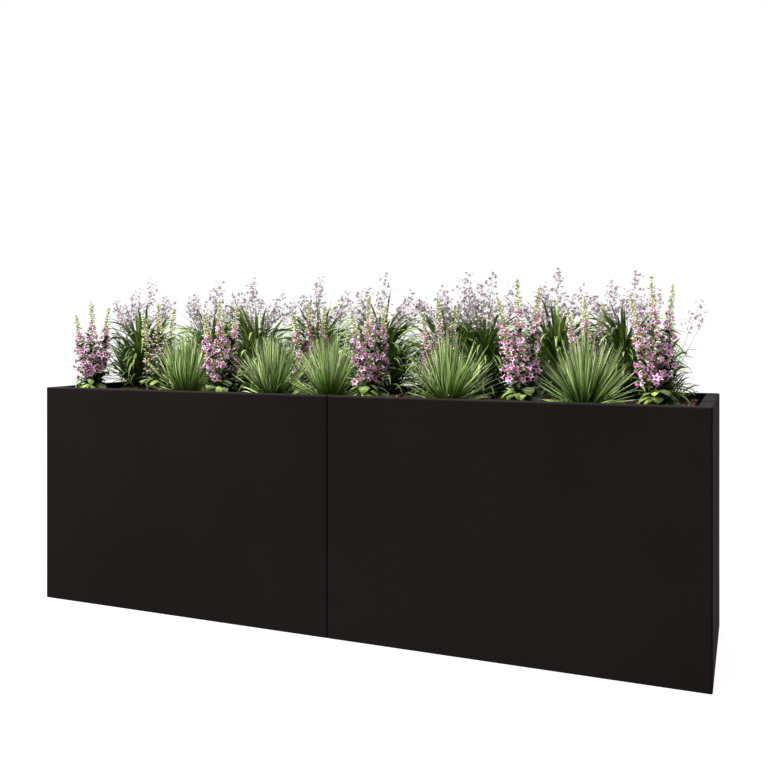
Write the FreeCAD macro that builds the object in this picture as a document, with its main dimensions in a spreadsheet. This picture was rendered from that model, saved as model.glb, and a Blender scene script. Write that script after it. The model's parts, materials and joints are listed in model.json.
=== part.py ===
import FreeCAD, Part
import os
import re

# A long rectangular planter made of folded sheet panels, with a raised floor on legs inside it.
# Millimetres. +X runs along the length, -Y is the front, +Z is up. The origin is on the ground,
# under the middle of the planter.

doc = FreeCAD.newDocument("Planter")
Vector = FreeCAD.Vector
Rotation = FreeCAD.Rotation

# ---------------------------------------------------------------- driving dimensions
SIZES = (
    ("overall_length", 2400, "outside length"),
    ("overall_depth", 600, "outside depth"),
    ("shell_height", 800, "ground to rim"),
    ("sheet_gauge", 2, "thickness of the folded panels"),
    ("bend_radius", 5, "outside radius of every fold"),
    ("rim_width", 40, "width of the folded-in rim and of the hidden flanges"),
    ("lip_drop", 15, "depth of the rim's turned-down lip, with the rim"),
    ("seam_gap", 3, "gap between the two modules, filled by the gasket"),
    ("corner_gap", 0.2, "gap between an end panel and the flange behind it"),
    ("mitre_gap", 0.3, "gap at the mitred rim corners"),
    ("flange_screw_radius", 3, "M6 bolts and studs in the flanges"),
    ("flange_hole_radius", 3.3, "their clearance holes"),
    ("flange_hole_low", 100, "height of the lowest hole"),
    ("flange_hole_pitch", 200, "distance from hole to hole"),
    ("flange_nut_radius", 5.77, "corner radius of an M6 nut"),
    ("flange_nut_height", 5, "height of an M6 nut"),
    ("bolt_head_radius", 5, "radius of a seam bolt's head"),
    ("bolt_head_height", 4, "height of a seam bolt's head"),
    ("bolt_length", 16, "length of a seam bolt under its head"),
    ("stud_length", 14, "length of a corner stud"),
    ("gasket_setback", 6, "gasket behind the front face"),
    ("gasket_width", 30, "depth of the gasket"),
    ("stiffener_width", 40, "width of a panel stiffener"),
    ("stiffener_depth", 30, "how far a stiffener stands in from its panel"),
    ("stiffener_low", 20, "height of a stiffener's lower end"),
    ("stiffener_high", 775, "height of its upper end"),
    ("stiffener_place", 600, "stiffeners and tie rods from mid-length"),
    ("tie_height", 600, "height of the tie rods"),
    ("tie_radius", 5, "M10 tie rods"),
    ("tie_hole_radius", 5.5, "holes that the rods go through"),
    ("tie_end_margin", 10, "rod end from the planter's face"),
    ("tie_nut_radius", 9.8, "corner radius of an M10 nut"),
    ("tie_nut_height", 7.6, "height of an M10 nut"),
    ("leg_side", 40, "square tube of a leg"),
    ("tube_wall", 2, "wall of all square and flat tubes"),
    ("leg_low", 24, "height of a leg's lower end"),
    ("leg_high", 320, "height of its upper end"),
    ("leg_place_long", 1050, "outer legs from mid-length"),
    ("leg_place_deep", 180, "legs from the middle of the depth"),
    ("rail_height", 20, "height of the cross rails and of the bearers"),
    ("rail_width", 40, "their width"),
    ("rail_length", 460, "length of a cross rail"),
    ("bearer_length", 2280, "length of a bearer"),
    ("inner_inset", 42, "floor pan edge from the planter's outside"),
    ("pan_height", 25, "height of a floor pan's upturned edge"),
    ("pan_gap", 2, "gap between the two floor pans"),
    ("drain_near", 300, "inner drain hole from mid-length"),
    ("drain_far", 800, "outer drain hole from mid-length"),
    ("drain_radius", 11, "radius of a drain hole"),
    ("spout_radius", 10.8, "outside radius of a drain spout"),
    ("spout_bore_radius", 8, "bore of a drain spout"),
    ("spout_flange_radius", 16, "radius of its flange"),
    ("spout_flange_height", 2, "thickness of its flange"),
    ("spout_length", 30, "length of a spout with its flange"),
    ("liner_gauge", 3, "thickness of the fleece liner"),
    ("liner_high", 783, "height of the liner's top edge"),
    ("mat_gauge", 10, "thickness of the drainage mat"),
    ("soil_high", 780, "height of the soil's surface"),
    ("foot_radius", 25, "radius of a levelling foot's pad"),
    ("foot_height", 8, "height of the pad"),
    ("foot_stud_radius", 6, "M12 stud of a levelling foot"),
    ("foot_stud_high", 90, "height of the stud's upper end"),
    ("thread_radius", 6.06, "bore that the stud runs in"),
    ("insert_height", 24, "height of the threaded insert in a leg"),
    ("locknut_radius", 10.9, "corner radius of an M12 locknut"),
    ("locknut_height", 7, "height of the locknut"),
    ("spike_core_radius", 58, "core of a flower clump at the soil"),
    ("spike_tip_radius", 12, "core of a flower clump at its tip"),
    ("short_spike_height", 345, "height of a low flower clump"),
    ("tall_spike_height", 395, "height of a tall flower clump"),
    ("tuft_core_radius", 72, "core of a grass tuft"),
    ("tuft_height", 215, "height of a grass tuft"),
    ("leaf_core_radius", 55, "core of a perennial at the soil"),
    ("plume_core_radius", 42, "core of a perennial's flowers at the top"),
    ("plume_height", 460, "height of a perennial with its flowers"),
    ("low_plume_height", 400, "height of the lowest perennial"),
)
sheet = doc.addObject("Spreadsheet::Sheet", "dims")
for row, (alias, value, meaning) in enumerate(SIZES, 1):
    sheet.set(f"A{row}", meaning)
    sheet.set(f"B{row}", str(value))
    sheet.setAlias(f"B{row}", alias)
doc.recompute()

# Places that several sub-parts share, as expressions over the sheet.
HALF_LENGTH = "(overall_length / 2)"
HALF_DEPTH = "(overall_depth / 2)"
MODULE_LENGTH = f"({HALF_LENGTH} - sheet_gauge - corner_gap - seam_gap / 2)"
CORNER_STEP = "(sheet_gauge + corner_gap)"
END_WIDTH = "(overall_depth - 2 * bend_radius)"
FLOOR = "(leg_high + 2 * rail_height)"
FLOOR_TOP = f"({FLOOR} + sheet_gauge)"
MAT_LOW = f"({FLOOR_TOP} + spout_flange_height)"
SOIL_LOW = f"({MAT_LOW} + mat_gauge)"
LINER_INSET = "(inner_inset + sheet_gauge)"
SOIL_INSET = f"({LINER_INSET} + liner_gauge)"
STIFFENER_WEB = f"({HALF_DEPTH} - sheet_gauge - stiffener_depth)"

ALONG_X = Rotation(Vector(0, 1, 0), 90)
ALONG_Y = Rotation(Vector(1, 0, 0), -90)
UPRIGHT = Rotation()
SIDES = {"left": -1, "right": 1}
ROWS = {"front": -1, "back": 1}
FLANGE_HOLES = 4

parts = {}


# ---------------------------------------------------------------- helpers
def bound(text):
    """The expression with every sheet alias in it written as dims.alias."""
    return re.sub(r"[a-z_]{3,}", lambda word: "dims." + word.group(), text)


def bind(item, **sizes):
    for name, text in sizes.items():
        item.setExpression(name, bound(text))


def place(item, where, turn=UPRIGHT):
    item.Placement = FreeCAD.Placement(Vector(), turn)
    for axis, text in zip("xyz", where):
        item.setExpression(f"Placement.Base.{axis}", bound(text))


def box(name, low, size, kind="Part::Box", body=None):
    item = body.newObject(kind, name) if body else doc.addObject(kind, name)
    bind(item, Length=size[0], Width=size[1], Height=size[2])
    place(item, low)
    return item


def rod(name, base, radius, length, turn=UPRIGHT):
    item = doc.addObject("Part::Cylinder", name)
    bind(item, Radius=radius, Height=length)
    place(item, base, turn)
    return item


def hexagon(name, base, radius, length, turn=UPRIGHT):
    item = doc.addObject("Part::Prism", name)
    item.Polygon = 6
    bind(item, Circumradius=radius, Height=length)
    place(item, base, turn)
    return item


def cut(name, base, tool):
    item = doc.addObject("Part::Cut", name)
    item.Base = base
    item.Tool = tool
    return item


def join(name, pieces):
    item = doc.addObject("Part::MultiFuse", name)
    item.Shapes = pieces
    return item


def group(name, pieces):
    item = doc.addObject("Part::Compound", name)
    item.Links = pieces
    return item


def keep(node, item):
    item.Label = node
    parts[node] = item


def nut(name, base, radius, length, bore, turn):
    blank = hexagon(f"{name}_blank", base, radius, length, turn)
    return cut(name, blank, rod(f"{name}_bore", base, bore, length, turn))


def tube(name, low, size, open_axis):
    """A rectangular tube, open at both ends along one axis."""
    inner_low = [text if axis == open_axis else f"{text} + tube_wall" for axis, text in zip("xyz", low)]
    inner_size = [
        text if axis == open_axis else f"{text} - 2 * tube_wall" for axis, text in zip("xyz", size)
    ]
    return cut(name, box(f"{name}_outside", low, size), box(f"{name}_inside", inner_low, inner_size))


def face_towards(shape, direction):
    """Name of the flat face that lies furthest in a direction."""
    reach = [face.CenterOfMass.dot(direction) for face in shape.Faces]
    return f"Face{reach.index(max(reach)) + 1}"


def edges_of_face(shape, face_name, among=None):
    """Names of a face's edges, or of those that run along one direction."""
    face = shape.getElement(face_name)
    names = []
    for number, edge in enumerate(shape.Edges, 1):
        if not any(edge.isSame(other) for other in face.Edges):
            continue
        run = edge.tangentAt(edge.FirstParameter)
        if among is None or abs(run.dot(among)) > 0.99:
            names.append(f"Edge{number}")
    return names


# ---------------------------------------------------------------- folded sheet panels
def folded_blank(name, size, outer, open_faces, bends=None):
    """A body with a sheet folded round a block: bends on the outer face, open on the given sides."""
    body = doc.addObject("PartDesign::Body", name)
    block = box(f"{name}_block", ("0", "0", "0"), size, "PartDesign::AdditiveBox", body)
    doc.recompute()
    outer_face = face_towards(block.Shape, outer)
    folds = body.newObject("PartDesign::Fillet", f"{name}_folds")
    folds.Base = (block, edges_of_face(block.Shape, outer_face, bends))
    bind(folds, Radius="bend_radius")
    doc.recompute()
    shell = body.newObject("PartDesign::Thickness", f"{name}_sheet")
    shell.Base = (folds, [face_towards(folds.Shape, side) for side in open_faces])
    bind(shell, Value="sheet_gauge")
    shell.Reversed = True
    doc.recompute()
    return body


def mitre(body, name, corner, low, length):
    """Cut the flanges back to the 45 degree line through a corner of the planter."""
    tool = box(name, (corner, "0", low), ("2 * rim_width", "2 * rim_width", length),
               "PartDesign::SubtractiveBox", body)
    place(tool, (corner, "0", low), Rotation(Vector(0, 0, 1), 45))


def long_panel(node, outer_end_first, where, turn):
    """A front or back panel: a face with a flange all round and a lip on the rim."""
    size = (MODULE_LENGTH, "rim_width", "shell_height")
    body = folded_blank(node, size, Vector(0, -1, 0), [Vector(0, 1, 0)])
    lip_low = "shell_height - lip_drop"
    mitre_length = f"{MODULE_LENGTH} + {CORNER_STEP} - rim_width - mitre_gap"
    lip_start = f"rim_width - {CORNER_STEP} + mitre_gap" if outer_end_first else "0"
    box(f"{node}_lip", (lip_start, "rim_width - sheet_gauge", lip_low),
        (mitre_length, "sheet_gauge", "lip_drop"), "PartDesign::AdditiveBox", body)
    far_corner = f"{MODULE_LENGTH} + {CORNER_STEP} - mitre_gap"
    corner = f"mitre_gap - {CORNER_STEP}" if outer_end_first else far_corner
    fold = "(bend_radius + sheet_gauge)"
    mitre(body, f"{node}_rim_mitre", corner, f"shell_height - {fold}", f"2 * {fold}")
    mitre(body, f"{node}_foot_mitre", corner, f"-{fold}", f"2 * {fold}")
    doc.recompute()
    hole = body.newObject("PartDesign::SubtractiveCylinder", f"{node}_flange_holes")
    bind(hole, Radius="flange_hole_radius", Height=MODULE_LENGTH)
    place(hole, ("0", "rim_width / 2", "flange_hole_low"), ALONG_X)
    doc.recompute()
    repeat = body.newObject("PartDesign::LinearPattern", f"{node}_flange_hole_row")
    repeat.Originals = [hole]
    z_axis = next(item for item in body.Origin.OriginFeatures if item.Role == "Z_Axis")
    repeat.Direction = (z_axis, [""])
    repeat.Occurrences = FLANGE_HOLES
    bind(repeat, Length=f"{FLANGE_HOLES - 1} * flange_hole_pitch")
    body.Tip = repeat
    place(body, where, turn)
    keep(node, body)


def end_panel(node, where, turn):
    """An end panel: a face with a rim and a foot flange, and plain edges that lap the long panels."""
    size = (END_WIDTH, "rim_width", "shell_height")
    open_faces = [Vector(0, 1, 0), Vector(1, 0, 0), Vector(-1, 0, 0)]
    body = folded_blank(node, size, Vector(0, -1, 0), open_faces, Vector(1, 0, 0))
    lip_start = "rim_width - bend_radius + mitre_gap"
    box(f"{node}_lip", (lip_start, "rim_width - sheet_gauge", "shell_height - lip_drop"),
        (f"{END_WIDTH} - 2 * ({lip_start})", "sheet_gauge", "lip_drop"), "PartDesign::AdditiveBox", body)
    mitre(body, f"{node}_first_mitre", "mitre_gap - bend_radius", "0", "shell_height")
    mitre(body, f"{node}_last_mitre", f"{END_WIDTH} + bend_radius - mitre_gap", "0", "shell_height")
    place(body, where, turn)
    keep(node, body)


def panels():
    half_turn = Rotation(Vector(0, 0, 1), 180)
    outer = f"{HALF_LENGTH} - {CORNER_STEP}"
    long_panel("front_panel_left", True, (f"-({outer})", f"-{HALF_DEPTH}", "0"), UPRIGHT)
    long_panel("front_panel_right", False, ("seam_gap / 2", f"-{HALF_DEPTH}", "0"), UPRIGHT)
    long_panel("back_panel_right", True, (outer, HALF_DEPTH, "0"), half_turn)
    long_panel("back_panel_left", False, ("-seam_gap / 2", HALF_DEPTH, "0"), half_turn)
    quarter = f"({END_WIDTH} / 2)"
    end_panel("end_panel_right", (HALF_LENGTH, f"-{quarter}", "0"), Rotation(Vector(0, 0, 1), 90))
    end_panel("end_panel_left", (f"-{HALF_LENGTH}", quarter, "0"), Rotation(Vector(0, 0, 1), -90))


# ---------------------------------------------------------------- joints of the shell
def flange_fasteners():
    """Bolts through the seam flanges, studs on the end panels, and one kind of nut for both."""
    bolts, studs, nuts = [], [], []
    seam_face = "seam_gap / 2 + sheet_gauge"
    stud_base = f"({HALF_LENGTH} - sheet_gauge)"
    flange_inside = f"({stud_base} - corner_gap - sheet_gauge)"
    for row, front in ROWS.items():
        depth = f"{front} * ({HALF_DEPTH} - rim_width / 2)"
        for number in range(FLANGE_HOLES):
            height = f"flange_hole_low + {number} * flange_hole_pitch"
            tag = f"{row}_{number}"
            head = rod(f"seam_head_{tag}", (f"-({seam_face}) - bolt_head_height", depth, height),
                       "bolt_head_radius", "bolt_head_height", ALONG_X)
            shank = rod(f"seam_shank_{tag}", (f"-({seam_face})", depth, height),
                        "flange_screw_radius", "bolt_length", ALONG_X)
            bolts.append(join(f"seam_bolt_{tag}", [head, shank]))
            nuts.append(nut(f"seam_nut_{tag}", (seam_face, depth, height), "flange_nut_radius",
                            "flange_nut_height", "flange_screw_radius", ALONG_X))
            for side, sign in SIDES.items():
                stud_low = f"{stud_base} - stud_length" if sign > 0 else f"-{stud_base}"
                studs.append(rod(f"stud_{side}_{tag}", (stud_low, depth, height),
                                 "flange_screw_radius", "stud_length", ALONG_X))
                nut_low = f"{flange_inside} - flange_nut_height" if sign > 0 else f"-{flange_inside}"
                nuts.append(nut(f"stud_nut_{side}_{tag}", (nut_low, depth, height), "flange_nut_radius",
                                "flange_nut_height", "flange_screw_radius", ALONG_X))
    keep("seam_bolts", group("seam_bolts", bolts))
    keep("corner_studs", group("corner_studs", studs))
    keep("flange_nuts", group("flange_nuts", nuts))


def seam_gaskets():
    strips = []
    for row, front in ROWS.items():
        near = f"({HALF_DEPTH} - gasket_setback)"
        low = f"-{near}" if front < 0 else f"{near} - gasket_width"
        strip = box(f"gasket_strip_{row}", ("-seam_gap / 2", low, "bend_radius"),
                    ("seam_gap", "gasket_width", "shell_height - 2 * bend_radius"))
        holes = []
        for number in range(FLANGE_HOLES):
            height = f"flange_hole_low + {number} * flange_hole_pitch"
            holes.append(rod(f"gasket_hole_{row}_{number}",
                             ("-seam_gap / 2", f"{front} * ({HALF_DEPTH} - rim_width / 2)", height),
                             "flange_hole_radius", "seam_gap", ALONG_X))
        strips.append(cut(f"gasket_{row}", strip, join(f"gasket_holes_{row}", holes)))
    keep("seam_gaskets", group("seam_gaskets", strips))


def stiffeners_and_ties():
    """Channels welded inside the long panels, with a rod from front to back through each pair."""
    channels, ties, nuts = [], [], []
    for side, sign in SIDES.items():
        middle = f"({sign} * stiffener_place)"
        for row, front in ROWS.items():
            tag = f"{side}_{row}"
            low_x = f"{middle} - stiffener_width / 2"
            low_y = f"-({HALF_DEPTH} - sheet_gauge)" if front < 0 else STIFFENER_WEB
            outside = box(f"channel_outside_{tag}", (low_x, low_y, "stiffener_low"),
                          ("stiffener_width", "stiffener_depth", "stiffener_high - stiffener_low"))
            inside_y = low_y if front < 0 else f"{low_y} + sheet_gauge"
            inside = box(f"channel_inside_{tag}", (f"{low_x} + sheet_gauge", inside_y, "stiffener_low"),
                         ("stiffener_width - 2 * sheet_gauge", "stiffener_depth - sheet_gauge",
                          "stiffener_high - stiffener_low"))
            web_hole = rod(f"channel_hole_{tag}", (middle, low_y, "tie_height"),
                           "tie_hole_radius", "stiffener_depth", ALONG_Y)
            channels.append(cut(f"channel_{tag}", outside, join(f"channel_cuts_{tag}", [inside, web_hole])))
            inner = f"{STIFFENER_WEB} - tie_nut_height" if front > 0 else f"-{STIFFENER_WEB}"
            outer = f"{STIFFENER_WEB} + sheet_gauge" if front > 0 else (
                f"-({STIFFENER_WEB} + sheet_gauge) - tie_nut_height")
            for where, base in (("inner", inner), ("outer", outer)):
                nuts.append(nut(f"tie_nut_{where}_{tag}", (middle, base, "tie_height"), "tie_nut_radius",
                                "tie_nut_height", "tie_radius", ALONG_Y))
        ties.append(rod(f"tie_{side}", (middle, f"tie_end_margin - {HALF_DEPTH}", "tie_height"),
                        "tie_radius", "overall_depth - 2 * tie_end_margin", ALONG_Y))
    keep("panel_stiffeners", group("panel_stiffeners", channels))
    keep("tie_rods", group("tie_rods", ties))
    keep("tie_rod_nuts", group("tie_rod_nuts", nuts))


# ---------------------------------------------------------------- raised floor and its frame
def floor_pan(node, sign, turn):
    """A shallow tray with upturned edges, open where it meets the other one."""
    size = (f"{HALF_LENGTH} - inner_inset - pan_gap / 2", "overall_depth - 2 * inner_inset", "pan_height")
    body = doc.addObject("PartDesign::Body", node)
    block = box(f"{node}_block", ("0", "0", "0"), size, "PartDesign::AdditiveBox", body)
    doc.recompute()
    shell = body.newObject("PartDesign::Thickness", f"{node}_sheet")
    shell.Base = (block, [face_towards(block.Shape, side) for side in (Vector(0, 0, 1), Vector(-1, 0, 0))])
    bind(shell, Value="sheet_gauge")
    shell.Reversed = True
    doc.recompute()
    for place_name in ("drain_near", "drain_far"):
        hole = body.newObject("PartDesign::SubtractiveCylinder", f"{node}_{place_name}")
        bind(hole, Radius="drain_radius", Height="pan_height")
        place(hole, (f"{place_name} - pan_gap / 2", f"{HALF_DEPTH} - inner_inset", "0"))
        doc.recompute()
    low_y = f"{-sign} * ({HALF_DEPTH} - inner_inset)"
    place(body, (f"{sign} * pan_gap / 2", low_y, FLOOR), turn)
    keep(node, body)


def floor_and_drains():
    floor_pan("floor_pan_right", 1, UPRIGHT)
    floor_pan("floor_pan_left", -1, Rotation(Vector(0, 0, 1), 180))
    spouts = []
    for side, sign in SIDES.items():
        for place_name in ("drain_near", "drain_far"):
            tag = f"{side}_{place_name}"
            middle = f"{sign} * {place_name}"
            low = f"{MAT_LOW} - spout_length"
            pipe = rod(f"spout_pipe_{tag}", (middle, "0", low), "spout_radius", "spout_length")
            flange = rod(f"spout_flange_{tag}", (middle, "0", FLOOR_TOP), "spout_flange_radius",
                         "spout_flange_height")
            bore = rod(f"spout_bore_{tag}", (middle, "0", low), "spout_bore_radius", "spout_length")
            spouts.append(cut(f"spout_{tag}", join(f"spout_outside_{tag}", [pipe, flange]), bore))
    keep("drain_spouts", group("drain_spouts", spouts))


def floor_frame():
    """Six legs, a cross rail on each pair, and two bearers on the rails."""
    rails, inserts, locknuts = [], [], []
    columns = {"left": -1, "centre": 0, "right": 1}
    for column, step in columns.items():
        middle_x = f"({step} * leg_place_long)"
        rail_low = (f"{middle_x} - rail_width / 2", "-rail_length / 2", "leg_high")
        rails.append(tube(f"rail_{column}", rail_low, ("rail_width", "rail_length", "rail_height"), "y"))
        for row, front in ROWS.items():
            tag = f"{row}_{column}"
            middle_y = f"({front} * leg_place_deep)"
            corner = (f"{middle_x} - leg_side / 2", f"{middle_y} - leg_side / 2")
            keep(f"leg_{tag}", tube(f"leg_{tag}", (*corner, "leg_low"),
                                    ("leg_side", "leg_side", "leg_high - leg_low"), "z"))
            plug_corner = [f"{text} + tube_wall" for text in corner]
            plug = box(f"plug_{tag}", (*plug_corner, "leg_low"),
                       ("leg_side - 2 * tube_wall", "leg_side - 2 * tube_wall", "insert_height"))
            thread = rod(f"thread_{tag}", (middle_x, middle_y, "leg_low"), "thread_radius", "insert_height")
            inserts.append(cut(f"insert_{tag}", plug, thread))
            locknuts.append(nut(f"locknut_{tag}", (middle_x, middle_y, "leg_low - locknut_height"),
                                "locknut_radius", "locknut_height", "thread_radius", UPRIGHT))
            pad = rod(f"foot_pad_{tag}", (middle_x, middle_y, "0"), "foot_radius", "foot_height")
            stud = rod(f"foot_stud_{tag}", (middle_x, middle_y, "0"), "foot_stud_radius", "foot_stud_high")
            keep(f"levelling_foot_{tag}", join(f"levelling_foot_{tag}", [pad, stud]))
    keep("cross_rails", group("cross_rails", rails))
    keep("foot_inserts", group("foot_inserts", inserts))
    keep("foot_locknuts", group("foot_locknuts", locknuts))
    for row, front in ROWS.items():
        low = ("-bearer_length / 2", f"{front} * leg_place_deep - rail_width / 2", "leg_high + rail_height")
        size = ("bearer_length", "rail_width", "rail_height")
        keep(f"bearer_{row}", tube(f"bearer_{row}", low, size, "x"))


# ---------------------------------------------------------------- filling
def tie_tunnels(name, radius):
    return join(name, [rod(f"{name}_{side}", (f"{sign} * stiffener_place", f"-{HALF_DEPTH}", "tie_height"),
                           radius, "overall_depth", ALONG_Y) for side, sign in SIDES.items()])


def filling():
    """Fleece on the walls, a drainage mat on the floor, and the soil."""
    long_half = f"({HALF_LENGTH} - {LINER_INSET})"
    deep_half = f"({HALF_DEPTH} - {LINER_INSET})"
    tall = f"liner_high - {FLOOR_TOP}"
    sheets = []
    for row, front in ROWS.items():
        low_y = f"-{deep_half}" if front < 0 else f"{deep_half} - liner_gauge"
        long_sheet = box(f"liner_long_{row}", (f"-{long_half}", low_y, FLOOR_TOP),
                         (f"2 * {long_half}", "liner_gauge", tall))
        sheets.append(cut(f"liner_{row}", long_sheet, tie_tunnels(f"liner_holes_{row}", "tie_hole_radius")))
    for side, sign in SIDES.items():
        low_x = f"-{long_half}" if sign < 0 else f"{long_half} - liner_gauge"
        sheets.append(box(f"liner_{side}", (low_x, f"-{deep_half} + liner_gauge", FLOOR_TOP),
                          ("liner_gauge", f"2 * ({deep_half} - liner_gauge)", tall)))
    keep("liner_sheets", group("liner_sheets", sheets))

    low = (f"{SOIL_INSET} - {HALF_LENGTH}", f"{SOIL_INSET} - {HALF_DEPTH}")
    across = (f"overall_length - 2 * {SOIL_INSET}", f"overall_depth - 2 * {SOIL_INSET}")
    keep("drainage_mat", box("drainage_mat", (*low, MAT_LOW), (*across, "mat_gauge")))
    block = box("soil_block", (*low, SOIL_LOW), (*across, f"soil_high - {SOIL_LOW}"))
    keep("soil_fill", cut("soil_fill", block, tie_tunnels("soil_tunnels", "tie_hole_radius")))


# ---------------------------------------------------------------- plants
# Where each plant stands: from mid-length and from the middle of the depth, in millimetres.
FLOWER_CLUMPS = (
    (-1082, -190, "short"), (-489, -192, "short"), (108, -192, "short"), (630, -192, "tall"),
    (1041, -190, "tall"), (-905, -10, "short"), (-227, 0, "short"), (290, 0, "short"), (805, 0, "short"),
)
GRASS_TUFTS = ((-644, -178), (-274, -178), (-48, -178), (378, -178), (825, -178))
PERENNIALS = (
    (-1093, 130, "full"), (-752, 140, "full"), (-541, 135, "full"), (-262, 150, "full"), (2, 140, "full"),
    (273, 150, "full"), (404, 145, "full"), (666, 140, "full"), (898, 145, "full"), (1035, 120, "low"),
)


def cone(name, base, low_radius, high_radius, height):
    item = doc.addObject("Part::Cone", name)
    bind(item, Radius1=low_radius, Radius2=high_radius, Height=height)
    place(item, base)
    return item


def plants():
    """A plain core for each plant, standing on the soil."""
    for number, (across, deep, stature) in enumerate(FLOWER_CLUMPS, 1):
        node = f"flower_clump_{number}"
        keep(node, cone(node, (str(across), str(deep), "soil_high"), "spike_core_radius",
                        "spike_tip_radius", f"{stature}_spike_height"))
    for number, (across, deep) in enumerate(GRASS_TUFTS, 1):
        node = f"grass_tuft_{number}"
        dome = doc.addObject("Part::Ellipsoid", node)
        dome.Angle1 = 0
        bind(dome, Radius1="tuft_height", Radius2="tuft_core_radius", Radius3="tuft_core_radius")
        place(dome, (str(across), str(deep), "soil_high"))
        keep(node, dome)
    for number, (across, deep, stature) in enumerate(PERENNIALS, 1):
        node = f"perennial_{number}"
        top = "plume_height" if stature == "full" else "low_plume_height"
        keep(node, cone(node, (str(across), str(deep), "soil_high"), "leaf_core_radius",
                        "plume_core_radius", top))


# ---------------------------------------------------------------- build, test and write
def failed():
    """Every object that did not recompute, and every sub-part without a good solid."""
    bad = [item.Label for item in doc.Objects if {"Invalid", "Error"} & set(item.State)]
    for node, item in parts.items():
        shape = item.Shape
        if shape.isNull() or not shape.isValid() or not shape.Solids:
            bad.append(f"{node} shape")
    return bad


panels()
flange_fasteners()
seam_gaskets()
stiffeners_and_ties()
floor_and_drains()
floor_frame()
filling()
plants()
doc.recompute()

problems = failed()
if problems:
    raise RuntimeError("not built: " + ", ".join(problems))
os.makedirs("parts", exist_ok=True)
for node, item in parts.items():
    item.Shape.exportStep(f"parts/{node}.step")
print(len(parts), "sub-parts written")
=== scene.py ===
import json
import math

import bpy
import numpy as np
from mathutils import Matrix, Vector


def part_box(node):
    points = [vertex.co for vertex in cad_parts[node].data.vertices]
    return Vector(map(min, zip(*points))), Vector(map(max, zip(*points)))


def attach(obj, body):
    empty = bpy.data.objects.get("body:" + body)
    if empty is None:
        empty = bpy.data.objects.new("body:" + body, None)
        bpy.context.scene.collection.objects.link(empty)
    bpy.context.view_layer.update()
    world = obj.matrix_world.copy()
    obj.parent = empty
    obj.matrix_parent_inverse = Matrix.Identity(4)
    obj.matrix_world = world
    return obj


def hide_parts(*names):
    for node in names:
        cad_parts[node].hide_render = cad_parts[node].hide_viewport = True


# Looks for the planter: coated panels, bark on the soil, and every plant as leaves and flowers.
# Metres, in the frame of the CAD model: +X along the length, -Y to the front, +Z up.

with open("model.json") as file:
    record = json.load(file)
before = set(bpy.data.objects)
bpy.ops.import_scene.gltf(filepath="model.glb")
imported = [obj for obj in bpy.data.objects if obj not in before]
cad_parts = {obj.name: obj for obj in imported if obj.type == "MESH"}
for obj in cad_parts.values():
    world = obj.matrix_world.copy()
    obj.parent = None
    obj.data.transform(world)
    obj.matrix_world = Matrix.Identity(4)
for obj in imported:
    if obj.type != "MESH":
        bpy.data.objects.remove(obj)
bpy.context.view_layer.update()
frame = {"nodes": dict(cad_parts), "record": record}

MAIN_BODY = "planter"
SEED = 20260
FULL_TURN = 2.0 * math.pi
GOLDEN_ANGLE = math.radians(137.508)
UP = np.array([0.0, 0.0, 1.0])
CAMERA_TURN = math.radians(21.39)
RIGHT = np.array([math.cos(CAMERA_TURN), math.sin(CAMERA_TURN), 0.0])
AWAY = np.array([-math.sin(CAMERA_TURN), math.cos(CAMERA_TURN), 0.0])


# ------------------------------------------------------------------ colour and node helpers
def rgb(red, green, blue):
    """A colour given as it looks on a screen, 0 to 255, as linear values."""
    values = np.array([red, green, blue], float) / 255.0
    return np.where(values <= 0.04045, values / 12.92, ((values + 0.055) / 1.055) ** 2.4)


SUNLIT = 1.45


def plant_colour(red, green, blue):
    """A leaf's or petal's own colour, given as it looks in the full light of the studio."""
    return rgb(red, green, blue) / SUNLIT


def mixed(low, high, share):
    """Colours between low and high; share may be an array."""
    share = np.asarray(share)[..., None]
    return low * (1.0 - share) + high * share


def rgba(colour):
    return (*[float(value) for value in colour], 1.0)


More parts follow.
